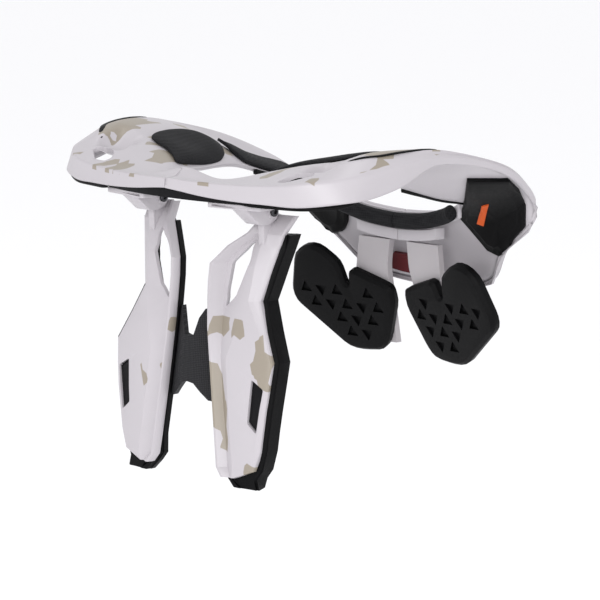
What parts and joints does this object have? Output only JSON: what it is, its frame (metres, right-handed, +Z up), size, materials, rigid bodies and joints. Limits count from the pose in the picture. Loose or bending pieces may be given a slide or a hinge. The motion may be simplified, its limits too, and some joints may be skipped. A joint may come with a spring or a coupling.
{
  "type": "motocross neck brace",
  "caption": "Motocross neck brace: two hard white collar wings with pads, two hinged rear back struts joined by a bridge, and two chest pads on flat arms.",
  "frame": {"origin": "middle of the neck opening, level with the rear rim of the collar", "axes": "+Z up as worn, +Y towards the wearer's front, +X towards the wearer's right"},
  "size_m": [0.28, 0.2727, 0.2265],
  "materials": {
    "shell": "satin moulded white plastic",
    "foam": "matt black moulded foam",
    "chassis": "matt black plastic",
    "cushion": "padded mesh cloth",
    "weave": "charcoal plate with a fine diagonal weave",
    "arm": "flexible pale grey plastic",
    "latch": "dark red plastic",
    "screw": "blackened steel"
  },
  "bodies": {
    "brace": {"shell_right": "shell", "shell_left": "shell", "neck_pad_right": "cushion", "neck_pad_left": "cushion", "side_pad_right": "cushion", "side_pad_left": "cushion", "wing_panel_right": "foam", "wing_panel_left": "foam", "piping_right": "foam", "piping_left": "foam", "collar_band_right": "shell", "collar_band_left": "shell", "bolster_right": "cushion", "bolster_left": "cushion", "arm_mount_right": "shell", "arm_mount_left": "shell", "pad_arm_right": "arm", "pad_arm_left": "arm", "chest_pad_right": "foam", "chest_pad_left": "foam", "front_latch": "latch", "rear_carrier": "chassis", "back_panel_right": "foam", "back_panel_left": "foam", "slider_plate_right": "shell", "slider_plate_left": "shell", "strut_bracket_right": "shell", "strut_bracket_left": "shell", "pivot_screw_right": "screw", "pivot_screw_left": "screw"},
    "struts": {"strut_cover_right": "shell", "strut_cover_left": "shell", "strut_foam_right": "foam", "strut_foam_left": "foam", "slot_insert_right": "chassis", "slot_insert_left": "chassis", "strut_bridge": "weave"}
  },
  "joints": [
    {"name": "strut_hinge", "type": "hinge", "parent": "brace", "child": "struts", "pos_m": [0, -0.0923, -0.0135], "axis": [1, 0, 0], "range_deg": [-10, 15]}
  ]
}
